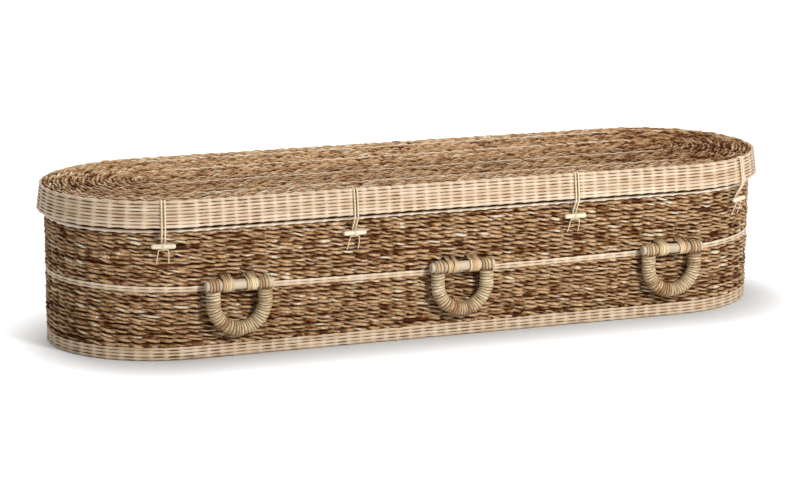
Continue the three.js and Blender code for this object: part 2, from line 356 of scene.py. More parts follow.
FLOAT_RATTAN = {"sides": 8, "half_height": 4.9 * MM, "half_depth": 1.9 * MM, "depth": 0.7 * MM,
                "drift": 0.1 * MM, "dip": 0.35, "sway": 0.012, "fade": 0.05, "per_wave": 12,
                "tone_drop": 0.0, "jitter": 0.0, "stagger": 0.0}


# %% A row on a wall
def tangents(points):
    """The direction of travel at each point of a level loop, from its two neighbours."""
    ahead = np.roll(points, -1, axis=0) - np.roll(points, 1, axis=0)
    return unit(np.concatenate([ahead, np.zeros((len(points), 1))], axis=1))


def wall_row(seed, half_length, half_width, z, look, end_waves, lean=0.0):
    """A row on an upright wall. z is a function of the row's plan points, and lean turns the
    row's outward side up."""
    path = plan_path(half_length, half_width, end_waves, look.get("per_wave", PER_WAVE))
    points, outward, _ = path
    base = np.concatenate([points, z(points)[:, None]], axis=1)
    out = unit(np.concatenate([outward, np.full((len(points), 1), lean)], axis=1))
    across = np.cross(out, tangents(points))
    rng = np.random.default_rng(seed)
    weave = float_row if "dip" in look else twined_row
    return weave(path, base, out, across, look, rng)


# %% [markdown]
# ## The basket's rows
#
# From the floor up: four rattan rows, thirteen leaf rows, the double rattan row at the height
# of the handles, thirteen more leaf rows, and one pale rattan row just under the lid. The
# weaver's rows sag a little in the middle of each long side, as they do on the real one.

# %% Rows of the wall
END_WAVES = 12
BASE_ROWS, LEAF_ROWS, MID_ROWS = 4, 13, 2
MID_BAND_HEIGHT = 16 * MM
SAG_ENDS, SAG_MIDDLE = 9 * MM, -5 * MM
OFF_FLOOR = 1.2 * MM
MID_MARGIN = 0.8 * MM
LEAF_INSET, RATTAN_INSET, TOP_ROW_INSET = 7.0 * MM, 2.6 * MM, 0.8 * MM
LOW_SEED, HIGH_SEED, BASE_SEED, MID_SEED, TOP_ROW_SEED = 100, 200, 300, 320, 330


def sagging(z, points):
    """Heights along a row: the sag is strongest at mid height, and it lifts the ends and
    lowers the middle of the long sides."""
    share = np.sin(math.pi * np.clip((z - BASE_BAND) / (TOP_ROW_Z - BASE_BAND), 0, 1))
    reach = (points[:, 0] / BODY_A) ** 2
    return z + share * (SAG_MIDDLE + (SAG_ENDS - SAG_MIDDLE) * reach)


def field_of_rows(low, high, count, inset, look, seed):
    """Rows between two heights of the wall. jitter is how unevenly they are spaced, in rows, and
    stagger how far along each may start, in waves: 0, as all rows share their stakes."""
    rng = np.random.default_rng(seed)
    grids = []
    for k in range(count):
        z = low + (high - low) * (k + 0.5 + look["jitter"] * rng.normal()) / count
        own = {**look, "shift": look["stagger"] * rng.random()}
        grids += wall_row(seed + k, BODY_A - inset, BODY_B - inset,
                          lambda points: sagging(z, points), own, END_WAVES)
    return grids


MID_LOW, MID_HIGH = MID_BAND_Z - MID_BAND_HEIGHT / 2, MID_BAND_Z + MID_BAND_HEIGHT / 2
# The base rows are a little darker, and the top row paler: partly its own colour, and partly
# painted light that lifts it out of the shadow under the lid's rim.
BASE_LOOK = {**FLOAT_RATTAN, "tone_drop": 0.08}
MID_LOOK = {**FLOAT_RATTAN, "half_height": 4.4 * MM, "dip": 0.24}
TOP_ROW_LOOK = {**FLOAT_RATTAN, "tone_drop": -0.4}
leaf_low = mesh_from_grids("leaf_rows_low", field_of_rows(
    BASE_BAND, MID_LOW, LEAF_ROWS, LEAF_INSET, LEAF_LOOK, LOW_SEED))
leaf_high = mesh_from_grids("leaf_rows_high", field_of_rows(
    MID_HIGH, TOP_ROW_Z, LEAF_ROWS, LEAF_INSET, LEAF_LOOK, HIGH_SEED))
base_rows = mesh_from_grids("base_band_rows", field_of_rows(
    OFF_FLOOR, BASE_BAND, BASE_ROWS, RATTAN_INSET, BASE_LOOK, BASE_SEED))
mid_rows = mesh_from_grids("mid_band_rows", field_of_rows(
    MID_LOW + MID_MARGIN, MID_HIGH - MID_MARGIN, MID_ROWS, RATTAN_INSET, MID_LOOK, MID_SEED))
top_row = mesh_from_grids("top_row", field_of_rows(
    TOP_ROW_Z, TOP_ROW_Z + TOP_ROW_HEIGHT, 1, TOP_ROW_INSET, TOP_ROW_LOOK, TOP_ROW_SEED))

# %% [markdown]
# ## The lid's rows
#
# The rim is eight rattan rows that lean outwards to the bottom, with a twined row on its
# shoulder. The top is leaf rows that follow the edge round and round to the middle. Two pale
# rattan rings lie on them along the straight sides and dive under the leaf round the ends. The
# leaf is paler near the rim, and painted darker towards the right end, as shade.

# %% Rows of the lid
RIM_END_WAVES = 11
RIM_ROWS = 8
RIM_INSET = 2.6 * MM
SHOULDER_IN, SHOULDER_DOWN = 4.6 * MM, 4.4 * MM
TOP_START = 22 * MM
TOP_ROWS = 25
TOP_PITCH = (LID_B - TOP_START) / (TOP_ROWS - 0.5)
TOP_SHIFT = 0.37
TOP_WAVE = 2.2 * STAKE_SPACING
TOP_PER_WAVE = 6
RING_ROWS = (5, 17)
RING_SHOWS, RING_DIVES = 640 * MM, 120 * MM
RIM_SEED, SHOULDER_SEED, TOP_SEED = 400, 410, 500
TOP_LOOK = {**LEAF_LOOK, "half_height": 3.9 * MM}
RING_LOOK = {**TWINED_RATTAN, "half_height": 4.6 * MM, "pinch": 0.85, "between_shade": 0.15,
             "proud": 1 * MM, "dive": 8 * MM}


def rim_grids():
    """The rim's rows, each set in by the rim's flare at its height, and one on its shoulder."""
    grids = []
    for k in range(RIM_ROWS):
        z = RIM_BOTTOM + (RIM_TOP - RIM_BOTTOM - 0.4 * MM) * (k + 0.5) / RIM_ROWS
        inset = RIM_INSET + RIM_FLARE * (z - RIM_BOTTOM) / (RIM_TOP - RIM_BOTTOM)
        grids += wall_row(RIM_SEED + k, LID_A - inset, LID_B - inset,
                          lambda points: np.full(len(points), z), FLOAT_RATTAN, RIM_END_WAVES)
    inset = RIM_FLARE + SHOULDER_IN
    grids += wall_row(SHOULDER_SEED, LID_A - inset, LID_B - inset,
                      lambda points: np.full(len(points), RIM_TOP - SHOULDER_DOWN),
                      TWINED_RATTAN, RIM_END_WAVES, lean=1.0)
    return grids


def crown(inset):
    """The height of the leaf's top at a distance inside the lid's edge. It stands a little
    above the rim and rises slowly to the middle."""
    return LEAF_EDGE + (LID_CROWN - LEAF_EDGE) * inset / LID_B


def lid_row(k, look):
    """One closed row of the lid's top, k rows in from the edge. proud lifts it above the leaf,
    and dive sinks it past the straight sides."""
    inset = TOP_START + TOP_PITCH * k
    a, b = LID_A - inset, LID_B - inset
    arc = math.pi * ((a - STRAIGHT_HALF) + b) / 2
    ends = max(1, round(arc / TOP_WAVE))
    path = plan_path(a, b, ends, TOP_PER_WAVE)
    points, outward, _ = path
    n = len(points)
    sunk = look["depth"] + look["half_depth"] - look.get("proud", 0)
    base = np.concatenate([points, np.full((n, 1), crown(inset) - sunk)], axis=1)
    past = np.clip((abs(points[:, 0]) - RING_SHOWS) / RING_DIVES, 0, 1)
    base[:, 2] -= look.get("dive", 0) * past
    out = np.tile([0.0, 0.0, 1.0], (n, 1))
    across = np.cross(out, tangents(points))
    return twined_row(path, base, out, across, look, np.random.default_rng(TOP_SEED + k))


# %% Build the lid's rows
PALE_ROWS, PALER, DARKER = RING_ROWS[0], 0.12, -0.03
RIGHT_SHADE_FROM, RIGHT_SHADE_REACH, RIGHT_END_SHADE = 0.3, 0.5, 0.24
top_grids, ring_grids = [], []
for k in range(TOP_ROWS):
    top_grids += lid_row(k, {**TOP_LOOK, "hand": 1 - 2 * (k % 2), "shift": TOP_SHIFT * k})
    if k in RING_ROWS:
        ring_grids += lid_row(k, RING_LOOK)
for number, grid in enumerate(top_grids):
    # Painted shade: the leaf's tone falls towards the right end of the lid.
    right_end_shade = RIGHT_END_SHADE * np.clip((grid["points"][:, 0, 0] - RIGHT_SHADE_FROM) / RIGHT_SHADE_REACH, 0, 1)
    grid["tone"] = grid["tone"] - right_end_shade + (PALER if number < 2 * PALE_ROWS else DARKER)
outer_strands = len(top_grids) // 4 * 2
rim_rows = mesh_from_grids("lid_rim_rows", rim_grids())
top_outer = mesh_from_grids("lid_leaf_outer", top_grids[:outer_strands])
top_inner = mesh_from_grids("lid_leaf_inner", top_grids[outer_strands:])
rings = mesh_from_grids("lid_rattan_rings", ring_grids)

# %% [markdown]
# ## Cores
#
# Behind the rows there is a closed shell with the wall's true thickness, so that no light comes
# through. Its outer face is dark, as painted shade, and is seen only in the rows' gaps. Its inner
# face has low ridges, one for each row, because the inside is woven too.


# %% Shells
def shell_grid(half_length, half_width, end_waves, profile, per_wave=3):
    """A closed shell. The profile is a list of (inset, z, tone) from the middle of the
    underside, round the outside, to the middle of the top or of the inner floor."""
    loops = [plan_path(half_length - inset, half_width - inset, end_waves, per_wave)[0]
             for inset, _, _ in profile]
    heights = np.array([z for _, z, _ in profile])
    points = np.empty((len(profile), len(loops[0]), 3))
    points[:, :, :2] = loops
    points[:, :, 2] = heights[:, None]
    points = points[:, ::-1]
    step = np.linalg.norm(np.diff(points[0], axis=0, append=points[0][:1]), axis=1)
    down = distances([math.dist(a[:2], b[:2]) for a, b in zip(profile, profile[1:])])
    uv = np.stack(np.broadcast_arrays(distances(step), down[:, None] / (30 * MM)), axis=-1)
    return {"points": points, "uv": uv, "tone": np.array([t for _, _, t in profile]),
            "closed": False}


def ridges(start, end, count, height, tone):
    """Profile points between two (inset, z) points, with count low ridges on the left-hand
    side of the way from start to end."""
    share = np.linspace(0, 1, 2 * count + 1)[:, None]
    start, end = np.array(start), np.array(end)
    left = unit(np.array([start[1] - end[1], end[0] - start[0]]))
    rise = height * (np.arange(2 * count + 1) % 2)[:, None]
    line = start + (end - start) * share - left * rise
    return [(inset, z, tone + 0.12 * (k % 2)) for k, (inset, z) in enumerate(line)]


# %% Build the cores
# Painted shade: the nearly black tone of the core's outer face behind the leaf rows and under the
# lid's rim.
GAP_SHADE_TONE, BAND_TONE, INSIDE_TONE = 0.02, 0.3, 0.5
FLOOR = 14 * MM
basket_core = mesh_from_grids("basket_core", [shell_grid(BODY_A, BODY_B, END_WAVES, [
    *ridges((BODY_B - 14 * MM, 1.2 * MM), (9 * MM, 1.2 * MM), 22, -0.9 * MM, INSIDE_TONE),
    (5 * MM, 3 * MM, BAND_TONE),
    (4.2 * MM, BASE_BAND - 3 * MM, BAND_TONE),
    (8.5 * MM, BASE_BAND - 1 * MM, GAP_SHADE_TONE),
    (8.5 * MM, TOP_ROW_Z, GAP_SHADE_TONE),
    (5 * MM, TOP_ROW_Z + 3 * MM, BAND_TONE),
    (5 * MM, TOP_ROW_Z + TOP_ROW_HEIGHT - 3 * MM, BAND_TONE),
    (6 * MM, TOP_ROW_Z + TOP_ROW_HEIGHT, GAP_SHADE_TONE),
    (6 * MM, RIM_BOTTOM + 6 * MM, GAP_SHADE_TONE),
    *ridges((2.0 * MM, RIM_BOTTOM + 10 * MM), (2.0 * MM, BODY_TOP - 6 * MM), 4, 1.2 * MM,
            INSIDE_TONE),
    (4 * MM, BODY_TOP, INSIDE_TONE),
    (WALL - 4 * MM, BODY_TOP, INSIDE_TONE),
    *ridges((WALL, BODY_TOP - 6 * MM), (WALL, FLOOR + 9 * MM), 34, 0.9 * MM, INSIDE_TONE),
    *ridges((WALL + 6 * MM, FLOOR), (BODY_B - 14 * MM, FLOOR), 20, -0.9 * MM, INSIDE_TONE),
])])
FIT_GAP = 0.3 * MM
UNDERSIDE = BODY_TOP + FIT_GAP
RIM_IN = 8 * MM
UNDER_FLARE = RIM_FLARE * (UNDERSIDE - RIM_BOTTOM) / (RIM_TOP - RIM_BOTTOM)
lid_core = mesh_from_grids("lid_core", [shell_grid(LID_A, LID_B, RIM_END_WAVES, [
    *ridges((LID_B - 14 * MM, UNDERSIDE + 0.9 * MM),
            (UNDER_FLARE + RIM_IN + 4 * MM, UNDERSIDE + 0.9 * MM), 24, -0.9 * MM, INSIDE_TONE),
    *ridges((UNDER_FLARE + RIM_IN, UNDERSIDE - 4 * MM), (RIM_IN, RIM_BOTTOM + 3 * MM), 6,
            -0.8 * MM, BAND_TONE),
    (RIM_IN - 2 * MM, RIM_BOTTOM + 0.3 * MM, BAND_TONE),
    (4.4 * MM, RIM_BOTTOM + 0.3 * MM, BAND_TONE),
    (3.8 * MM, RIM_BOTTOM + 3 * MM, BAND_TONE),
    (3.8 * MM + RIM_FLARE, RIM_TOP - 4 * MM, BAND_TONE),
    (RIM_FLARE + 9 * MM, RIM_TOP - 5 * MM, GAP_SHADE_TONE),
    (LID_B - 20 * MM, LID_CROWN - 6 * MM, GAP_SHADE_TONE),
])])

# %% [markdown]
# ## Strands along a path
#
# The handles and the closures are drawn in their own small frames: u along the wall, v up and
# w straight out of it. A strand is a round or flat section carried along a path, and a rope is
# a few strands that wind about one path.


# %% Strands and ropes
def local_frame(x, y, z, out):
    """A function that takes (u, v, w) points to the world. out is the level direction of w."""
    matrix = np.array([[-out[1], out[0], 0.0], [0.0, 0.0, 1.0], [out[0], out[1], 0.0]])
    return lambda points: np.asarray(points) @ matrix + [x, y, z]


def smooth_path(corners, step):
    """Corner points made round by cutting their corners three times, then spaced evenly."""
    points = np.array(corners, float)
    for _ in range(3):
        near = points[:-1] * 0.75 + points[1:] * 0.25
        far = points[:-1] * 0.25 + points[1:] * 0.75
        inner = np.stack([near, far], axis=1).reshape(-1, 3)[1:-1]
        points = np.concatenate([points[:1], inner, points[-1:]])
    length = distances(np.linalg.norm(np.diff(points, axis=0), axis=1))
    at = np.linspace(0, length[-1], max(2, round(length[-1] / step)) + 1)
    return np.stack([np.interp(at, length, points[:, k]) for k in range(3)], axis=-1)


def path_frames(path, reference):
    """Distance along a path, and two directions across it: the part of the reference that is
    square to the path, and the direction square to both."""
    heading = unit(np.gradient(path, axis=0))
    side = unit(reference - heading * (heading @ reference)[:, None])
    along = distances(np.linalg.norm(np.diff(path, axis=0), axis=1))
    return along, side, np.cross(heading, side)


def strand_grid(path, wide, thick, sides, reference, tone, start=0.0):
    """An open strand. Its section is an ellipse, wide along the reference and thick across.
    wide and thick may be numbers or arrays of one number for each point of the grid."""
    along, side, other = path_frames(path, reference)
    angle = 2 * math.pi * np.arange(sides) / sides
    wide, thick = (np.broadcast_to(r, (len(path), sides))[..., None] for r in (wide, thick))
    ring = (side[:, None] * wide * np.cos(angle)[None, :, None]
            - other[:, None] * thick * np.sin(angle)[None, :, None])
    return {"points": path[:, None] + ring, "along": np.append(along, along[-1]) + start,
            "tone": tone, "closed": False}


def rope_grids(corners, radius, plies, lay, reference, rng, step=1.4 * MM, sides=5):
    """Strands that wind about one path: each is moved off it by half the radius in the
    direction turned by 2 pi * distance / lay."""
    path = smooth_path(corners, step)
    along, side, other = path_frames(path, reference)
    grids = []
    for k in range(plies):
        turn = 2 * math.pi * (along / lay + k / plies)
        off = side * np.cos(turn)[:, None] + other * np.sin(turn)[:, None]
        tone = 0.45 + 0.3 * rng.random()
        grids.append(strand_grid(path + off * radius * 0.4, radius * 0.62, radius * 0.62, sides,
                                 reference, tone, rng.random()))
    return grids


def placed(grids, to_world):
    """The same grids with their points taken to the world by a local frame."""
    return [{**g, "points": to_world(g["points"])} for g in grids]


# %% [markdown]
# ## The handles
#
# Each handle is a peeled bar lashed to the wall by two cane bindings, and a bail: a cane core
# wound edge to edge in pairs of thin strands, with an eye at each end that turns on the bar.
# The winding is cut into the bail's surface as one round ridge for each turn, with a shallow
# groove between the two strands of the pair. The grooves are painted darker, as shade.

# %% Handle pieces
ALONG_U, ALONG_W = np.array([1.0, 0.0, 0.0]), np.array([0.0, 0.0, 1.0])
BAR_RADIUS, BAR_OFFSET = 12.5 * MM, 23 * MM
BAIL_RADIUS, BAIL_HALF_SPAN, BAIL_STRAIGHT = 19 * MM, 66 * MM, 44 * MM
ARM_START = 14 * MM
EYE_RADIUS, EYE_X, EYE_LENGTH, EYE_BORE = 17.2 * MM, 63 * MM, 28 * MM, 13.4 * MM
BINDING_X, BINDING_RADIUS, BINDING_REACH = 30 * MM, 17 * MM, 24 * MM
BINDING_TURNS, BINDING_PITCH = 5, 5.3 * MM
WINDING = 7.2 * MM
BAIL_STEP, BAIL_SIDES, EYE_SIDES = 0.82 * MM, 16, 20
BAIL_VALUES, EYE_VALUES = 400, 60
BAIL_GROOVE, EYE_GROOVE = 3.4 * MM, 2.6 * MM


def winding_height(turns):
    """How high the wound surface stands, from 0 to 1, at a number of turns: a half circle for
    each turn, less a shallow bell-shaped groove along its top."""
    ridge = np.sqrt(np.clip(1 - (2 * (turns % 1.0) - 1) ** 2, 0, 1))
    groove = np.exp(-((turns % 1.0 - 0.5) / 0.07) ** 2)
    return ridge * (1 - 0.22 * groove)


def bar_grid(rng):
    """The bar: a rod along u with rounded ends, not quite straight and not quite even."""
    u = np.array([-86, -85.4, -84, -81, -40, 0, 40, 81, 84, 85.4, 86]) * MM
    share = np.array([0.72, 0.88, 0.97, 1, 0.985, 1, 0.98, 1, 0.97, 0.88, 0.72])
    path = np.stack([u, np.zeros(len(u)), np.zeros(len(u))], axis=-1)
    radius = BAR_RADIUS * share[:, None]
    return strand_grid(path, radius, radius, 28, ALONG_W, 0.22, rng.random() * 5)


# %% Bail
def bail_path(step):
    """The bail's middle line: down one arm, round the half circle, and up the other arm."""
    arc, arm = math.pi * BAIL_HALF_SPAN, BAIL_STRAIGHT - ARM_START
    s = np.linspace(-arm, arc + arm, round((arc + 2 * arm) / step) + 1)
    angle = np.clip(s, 0, arc) / BAIL_HALF_SPAN
    above = np.maximum(-s, 0) + np.maximum(s - arc, 0)
    u = -BAIL_HALF_SPAN * np.cos(angle)
    v = above - BAIL_STRAIGHT - BAIL_HALF_SPAN * np.sin(angle)
    return np.stack([u, v, np.zeros(len(s))], axis=-1), s + arm


def bail_grids(rng):
    """The wound arms and bow, and the wound eye at each end. The turns slide a little along the
    bail, and each has its own height and tone."""
    path, s = bail_path(BAIL_STEP)
    angle = 2 * math.pi * np.arange(BAIL_SIDES) / BAIL_SIDES
    wander = np.cumsum(rng.normal(size=BAIL_VALUES))
    wander -= np.linspace(0, wander[-1], BAIL_VALUES)
    slide = 0.04 * np.interp(s, np.linspace(0, s[-1], BAIL_VALUES), wander)
    turns = ((s / WINDING + slide)[:, None] + angle / (2 * math.pi)
             + 0.10 * np.sin(angle + 9 * s[:, None] / s[-1]))
    wound = np.floor(turns).astype(int) % BAIL_VALUES
    low = 1 - winding_height(turns)
    thinner = 1.3 * MM * rng.random(BAIL_VALUES)[wound]
    radius = BAIL_RADIUS - 0.2 * MM - BAIL_GROOVE * low - thinner
    patch = 0.18 * np.sin(9 * s / s[-1] + rng.random() * 6)[:, None]
    tone = 0.36 + 0.38 * rng.random(BAIL_VALUES)[wound] + patch
    # Painted shade: each turn darkens towards the grooves beside it.
    grids = [{**strand_grid(path, radius, radius, BAIL_SIDES, ALONG_W, tone, rng.random() * 5),
              "shade": (1 - low) ** 2}]
    for side in (-1, 1):
        x = np.linspace(-EYE_LENGTH / 2, EYE_LENGTH / 2, 36)
        turn = 2 * math.pi * np.arange(EYE_SIDES) / EYE_SIDES
        turns = x[:, None] / (1.15 * WINDING) + turn / (2 * math.pi) + rng.random()
        low = 1 - winding_height(turns)
        outer = EYE_RADIUS - 0.2 * MM - EYE_GROOVE * low
        outer[[0, -1]] = EYE_BORE + 1.2 * MM
        rows = np.concatenate([x, x[[-1, 0]]])
        bore = np.ones((2, EYE_SIDES))
        rings = np.concatenate([outer, EYE_BORE * bore])
        points = np.stack([np.broadcast_to(rows[:, None] + side * EYE_X, rings.shape),
                           rings * np.cos(turn), -rings * np.sin(turn)], axis=-1)
        wound = np.floor(turns + 20).astype(int) % EYE_VALUES
        tone = 0.25 + 0.5 * rng.random(EYE_VALUES)[wound]
        # Painted shade: the eye's grooves are darker, and its bore is dark.
        grids.append({"points": points, "along": np.append(rows, rows[-1]) - x[0],
                      "tone": np.concatenate([tone, 0.1 * bore]),
                      "shade": np.concatenate([(1 - low) ** 2, 0.4 * bore]), "closed": True})
    return grids


# %% Bindings
def binding_grids(middle, rng):
    """Turns of flat cane over the bar, which go into the wall above and below it."""
    grids = []
    thick = 1.7 * MM
    reach, wall = BINDING_RADIUS - thick, -BAR_OFFSET + 1.2 * MM
    swing = np.linspace(math.radians(100), math.radians(-100), 15)
    for k in range(BINDING_TURNS):
        place = (k - (BINDING_TURNS - 1) / 2) * BINDING_PITCH
        shift = middle + place + rng.normal() * 0.3 * MM
        slope = rng.normal() * 1.2 * MM
        bow = np.stack([0 * swing, reach * np.sin(swing), reach * np.cos(swing)], axis=-1)
        top, foot = [0, BINDING_REACH - 2.5 * MM, wall], [0, 2.5 * MM - BINDING_REACH, wall]
        path = np.concatenate([[top], bow, [foot]])
        path[:, 0] = shift + slope * np.linspace(-1, 1, len(path))
        grids.append(strand_grid(path, 2.75 * MM, thick, 8, ALONG_U, 0.3 + 0.5 * rng.random(),
                                 rng.random() * 5))
    return grids


# %% [markdown]
# ## The closures
#
# A twisted cord hangs from the lid's edge and loops behind a toggle. The toggle is a short
# peeled stick, tied at its middle by a thin cord whose two ends go into the wall below it.

# %% Closure pieces
SKEW = np.array([1.0, 1.0, 1.0])
TOGGLE_Z, TOGGLE_RADIUS, TOGGLE_OFFSET = 289 * MM, 6.2 * MM, 12.8 * MM
TOGGLE_HALF, TOGGLE_ROUND = 29.8 * MM, 5.2 * MM
LOOP_RADIUS, LOOP_HALF_GAP, LOOP_LAY = 2.5 * MM, 4 * MM, 9 * MM
TIE_RADIUS, TIE_LAY = 1.5 * MM, 5 * MM


def toggle_grid(rng):
    """A stick along u with round ends, a little thicker in the middle."""
    share = np.linspace(-1, 1, 17)
    u = TOGGLE_HALF * np.sin(math.pi / 2 * share)
    end = np.sqrt(np.clip(1 - np.clip((abs(u) - 25 * MM) / TOGGLE_ROUND, 0, 1) ** 2, 0, 1))
    radius = (TOGGLE_RADIUS * end * (1 - 0.05 * share ** 2))[:, None]
    path = np.stack([u, 0 * u, 0 * u], axis=-1)
    return strand_grid(path, radius, radius, 14, ALONG_W, 0.66, rng.random() * 5)


def loop_corners():
    """Corner points (u, v, w) of the lid's cord, from the lid's edge, behind the toggle and
    back up. w is measured from the basket's wall."""
    reach = LID_B - BODY_B
    off = LOOP_RADIUS + 1.2 * MM
    behind = LOOP_RADIUS + 1 * MM
    strand = [
        (RIM_TOP - 3 * MM, reach - RIM_FLARE - 9 * MM),
        (RIM_TOP + 0.8 * MM, reach - RIM_FLARE - 4 * MM),
        (RIM_TOP + 0.2 * MM, reach - RIM_FLARE + 2 * MM),
        (RIM_TOP - 4 * MM, reach - RIM_FLARE + off),
        (RIM_BOTTOM + 3 * MM, reach + off),
        (RIM_BOTTOM - 8 * MM, reach + 1.5 * MM),
        (TOGGLE_Z + 9 * MM, behind),
        (TOGGLE_Z - 7 * MM, behind)]
    down = [(-LOOP_HALF_GAP, v, w) for v, w in strand]
    rising = [(LOOP_HALF_GAP, v, w) for v, w in strand[::-1]]
    return down + [(0, TOGGLE_Z - 12 * MM, behind)] + rising


def tie_grids(rng):
    """A thin cord along under the toggle with a leg into the wall on both sides of the loop,
    and two turns round the toggle's middle."""
    near = TIE_RADIUS + 0.3 * MM
    under = TOGGLE_Z - TOGGLE_RADIUS - near
    low = TOGGLE_Z - 43 * MM
    legs = [(-17 * MM, low, near), (-15.5 * MM, low + 8 * MM, near + 3 * MM),
            (-12.6 * MM, under - 4 * MM, TOGGLE_OFFSET - 1 * MM), (-11 * MM, under, TOGGLE_OFFSET),
            (11 * MM, under, TOGGLE_OFFSET), (12.6 * MM, under - 4 * MM, TOGGLE_OFFSET - 1 * MM),
            (13 * MM, low + 8 * MM, near + 3 * MM), (12 * MM, low, near)]
    grids = rope_grids(legs, TIE_RADIUS, 2, TIE_LAY, SKEW, rng, 1.0 * MM)
    for middle in (-1.7 * MM, 1.7 * MM):
        angle = np.linspace(-2.2, 2.2, 17)
        ring = TOGGLE_RADIUS + 0.9 * MM
        path = np.stack([0 * angle + middle, TOGGLE_Z + ring * np.sin(angle),
                         TOGGLE_OFFSET + ring * np.cos(angle)], axis=-1)
        grids.append(strand_grid(path, 1.6 * MM, 1.3 * MM, 8, ALONG_U, 0.6, rng.random()))
    return grids


# %% [markdown]
# ## Every handle and closure
#
# The boxes of the bars and toggles say where each set of pieces goes. On a rounded end a set
# faces out squarely, which is along (x / a squared, y / b squared) on an ellipse. Each set has
# its own random start, so no two are wound alike.

# %% Build the handles and the closures
HANDLE_SEED, CLOSURE_SEED, SIDE_SEEDS = 700, 800, 10
handle_pieces, closure_pieces = [], []
for seed, side in ((0, "front"), (1, "back")):
    facing = np.array([0.0, 1.0 if side == "back" else -1.0])
    for number in (1, 2, 3):
        label = f"{side}_{number}"
        rng = np.random.default_rng(HANDLE_SEED + SIDE_SEEDS * seed + number)
        low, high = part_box(f"handle_bar_{label}")
        middle = (low + high) / 2
        to_world = local_frame(middle.x, middle.y, middle.z, facing)
        groups = [("handle_bar", "", [bar_grid(rng)]), ("handle_bail", "", bail_grids(rng)),
                  ("bar_binding", "_a", binding_grids(-BINDING_X, rng)),
                  ("bar_binding", "_b", binding_grids(BINDING_X, rng))]
        for kind, ending, grids in groups:
            piece = mesh_from_grids(f"{kind}_{label}{ending}_look", placed(grids, to_world))
            handle_pieces.append((piece, kind, f"{kind}_{label}{ending}", label))
    for number in (1, 2, 3, 4):
        label = f"{side}_{number}"
        rng = np.random.default_rng(CLOSURE_SEED + SIDE_SEEDS * seed + number)
        low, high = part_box(f"toggle_{label}")
        middle = (low + high) / 2
        past = max(abs(middle.x) - STRAIGHT_HALF, 0) * math.copysign(1, middle.x)
        reach = BODY_A - STRAIGHT_HALF
        slant = past / reach ** 2, abs(middle.y) / BODY_B ** 2
        out = unit(np.array([slant[0], slant[1] * facing[1]]))
        to_world = local_frame(middle.x - out[0] * TOGGLE_OFFSET,
                               middle.y - out[1] * TOGGLE_OFFSET, 0.0, out)
        stick = [{**g, "points": g["points"] + [0, TOGGLE_Z, TOGGLE_OFFSET]}
                 for g in [toggle_grid(rng)]]
        groups = [("toggle", stick), ("toggle_tie", tie_grids(rng)),
                  ("lid_loop", rope_grids(loop_corners(), LOOP_RADIUS, 2, LOOP_LAY, SKEW, rng))]
        for kind, grids in groups:
            piece = mesh_from_grids(f"{kind}_{label}_look", placed(grids, to_world))
            closure_pieces.append((piece, kind, f"{kind}_{label}"))

# %% [markdown]
# ## Materials
#
# Each material takes the strand's own UV map, so that its streaks run along the strand however
# it bends, and the two numbers kept at each point: the tone, which makes neighbouring strands
# differ, and the painted shade.

# %% Node helper and colours
def linear(code):
    """An sRGB colour written as six hex digits, as linear red, green, blue and alpha."""
    parts = [int(code[i:i + 2], 16) / 255 for i in (1, 3, 5)]
    return [c / 12.92 if c <= 0.04045 else ((c + 0.055) / 1.055) ** 2.4 for c in parts] + [1.0]


def add_node(tree, kind, settings=None, **inputs):
    """Adds a node, sets its properties, and sets or links each named input."""
    node = tree.nodes.new(kind)
    for key, value in (settings or {}).items():
        setattr(node, key, value)
    for key, value in inputs.items():
        socket = node.inputs[key.replace("_", " ")]
        if isinstance(value, bpy.types.NodeSocket):
            tree.links.new(value, socket)
        else:
            socket.default_value = value
    return node


def new_material(name):
    """An empty node material and its tree."""
    material = bpy.data.materials.new(name)
    material.use_nodes = True
    material.node_tree.nodes.clear()
    return material, material.node_tree


def colour_ramp(tree, factor, stops):
    """A ramp node with the given (position, hex colour) stops."""
    ramp = add_node(tree, "ShaderNodeValToRGB", Fac=factor)
    elements = ramp.color_ramp.elements
    while len(elements) < len(stops):
        elements.new(0.5)
    for element, (place, code) in zip(elements, stops):
        element.position = place
        element.color = linear(code)
    return ramp


